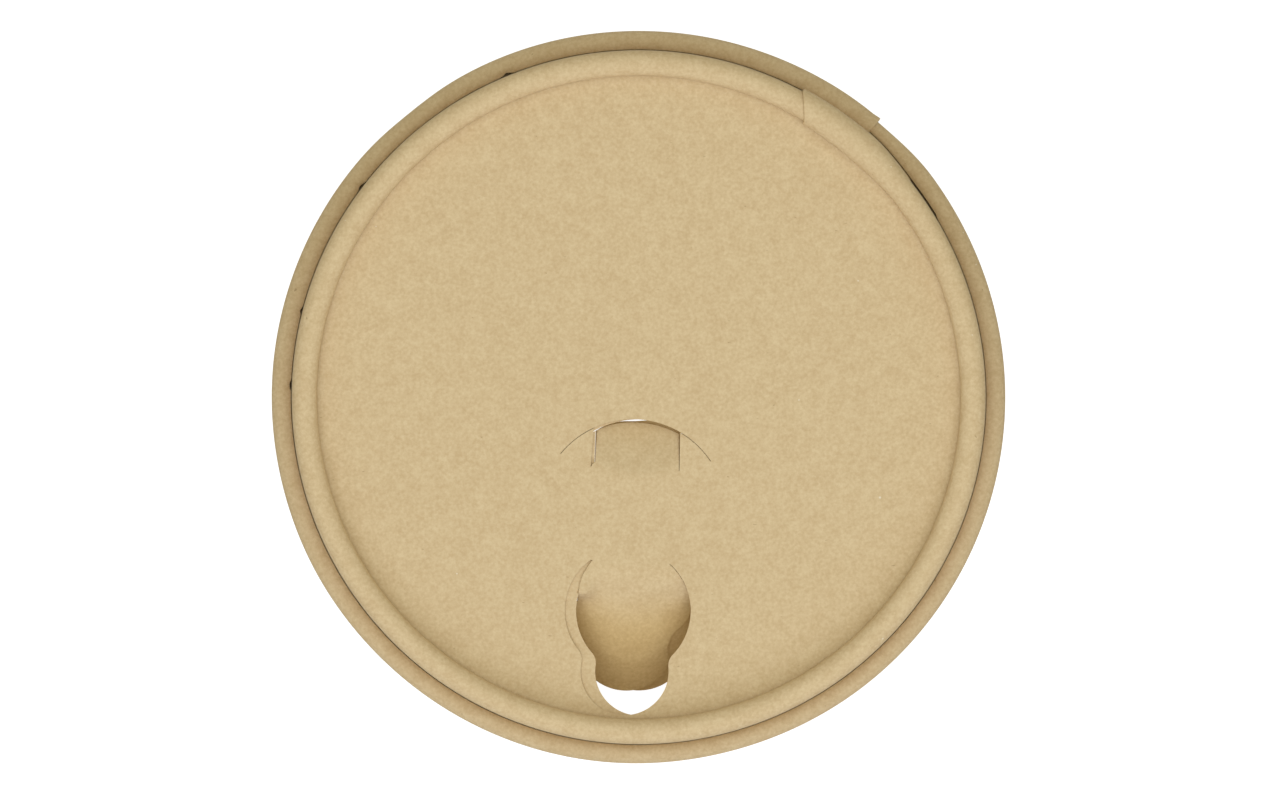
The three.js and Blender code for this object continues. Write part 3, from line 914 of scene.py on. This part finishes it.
class CUPLID_OT_discs(bpy.types.Operator):
    """Models the upper and the lower disc with their flaps and tabs"""
    bl_idname = "cuplid.discs"
    bl_label = "Discs"

    def execute(self, context):
        sizes = context.scene.lid_discs
        plans = (
            ("kraft_top_disc", "top_disc", sizes.top_turn, 0, sizes.top_radius),
            ("kraft_under_disc", "under_disc", sizes.under_turn, sizes.layer, sizes.under_radius),
        )
        for name, node, turn, depth, radius in plans:
            disc = model_disc(name, sizes, turn, depth, radius)
            # The last argument, 1, turns on the painted shade below the plate
            disc.data.materials.append(kraft_material(name, context.scene.lid_look, (1, 2.5, 1), 1))
            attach(disc, "root")
            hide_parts(node)
        return {"FINISHED"}


class CUPLID_OT_stage(bpy.types.Operator):
    """Adds the white floor, the soft lights and the camera straight above"""
    bl_idname = "cuplid.stage"
    bl_label = "Stage"

    def execute(self, context):
        add_floor()
        add_lights(context.scene)
        add_camera(context.scene)
        return {"FINISHED"}


def add_floor():
    deselect_all()
    bpy.ops.mesh.primitive_plane_add(size=6, location=(0, 0, -0.02 * MM))
    floor = settle(bpy.context.object, "floor")
    shader = Shader("white_floor")
    shader.surface.inputs["Base Color"].default_value = (0.3, 0.3, 0.3, 1)
    shader.surface.inputs["Roughness"].default_value = 0.9
    shader.surface.inputs["Emission Color"].default_value = (1, 1, 1, 1)
    shader.surface.inputs["Emission Strength"].default_value = 0.95
    floor.data.materials.append(shader.material)
    floor.visible_diffuse = False


def add_light(name, location, size, power, tint):
    """A square soft light that looks at the lid."""
    data = bpy.data.lights.new(name, "AREA")
    data.shape = "SQUARE"
    data.size = size
    data.energy = power
    data.color = tint
    light = bpy.data.objects.new(name, data)
    light.location = location
    light.rotation_euler = (-Vector(location)).to_track_quat("-Z", "Y").to_euler()
    light.visible_camera = False
    bpy.context.scene.collection.objects.link(light)


def add_lights(scene):
    world = bpy.data.worlds.new("studio")
    world.use_nodes = True
    world.node_tree.nodes["Background"].inputs["Color"].default_value = (1, 0.96, 0.77, 1)
    world.node_tree.nodes["Background"].inputs["Strength"].default_value = 0.44
    scene.world = world
    add_light("top", (0, 0, 1.6), 1.6, 14.2, (0.89, 0.94, 1))
    add_light("front", (0, -1.0, 0.85), 0.9, 6.9, (0.75, 0.79, 1))


def add_camera(scene):
    photo_width = 1271
    millimetres_per_pixel = 0.1296
    centre_column, centre_row = 638.7, 397.2
    photo_middle = (635.5, 400)
    distance = 3.0
    data = bpy.data.cameras.new("camera")
    data.sensor_width = 36
    data.lens = 36 * distance / (photo_width * millimetres_per_pixel * MM)
    data.clip_start = 0.1
    data.clip_end = 20
    camera = bpy.data.objects.new("camera", data)
    right = (photo_middle[0] - centre_column) * millimetres_per_pixel * MM
    up = (centre_row - photo_middle[1]) * millimetres_per_pixel * MM
    camera.location = (right, up, distance)
    scene.collection.objects.link(camera)
    scene.camera = camera
    scene.view_settings.view_transform = "Standard"


class CUPLID_PT_panel(bpy.types.Panel):
    """Lists the lid's pieces and their sizes"""
    bl_idname = "CUPLID_PT_panel"
    bl_label = "Cup Lid"
    bl_space_type = "VIEW_3D"
    bl_region_type = "UI"
    bl_category = "Cup Lid"

    def draw(self, context):
        for operator in (CUPLID_OT_side_wall, CUPLID_OT_discs, CUPLID_OT_stage):
            self.layout.operator(operator.bl_idname)
        for group in (context.scene.lid_wall, context.scene.lid_discs, context.scene.lid_look):
            box = self.layout.box()
            for name in group.__annotations__:
                box.prop(group, name)


CLASSES = (
    WallSizes,
    DiscSizes,
    KraftLook,
    CUPLID_OT_side_wall,
    CUPLID_OT_discs,
    CUPLID_OT_stage,
    CUPLID_PT_panel,
)


def register():
    for cls in CLASSES:
        bpy.utils.register_class(cls)
    bpy.types.Scene.lid_wall = PointerProperty(type=WallSizes)
    bpy.types.Scene.lid_discs = PointerProperty(type=DiscSizes)
    bpy.types.Scene.lid_look = PointerProperty(type=KraftLook)


def unregister():
    del bpy.types.Scene.lid_look
    del bpy.types.Scene.lid_discs
    del bpy.types.Scene.lid_wall
    for cls in reversed(CLASSES):
        bpy.utils.unregister_class(cls)


def main():
    register()
    bpy.ops.cuplid.side_wall()
    bpy.ops.cuplid.discs()
    bpy.ops.cuplid.stage()


if __name__ == "__main__":
    main()
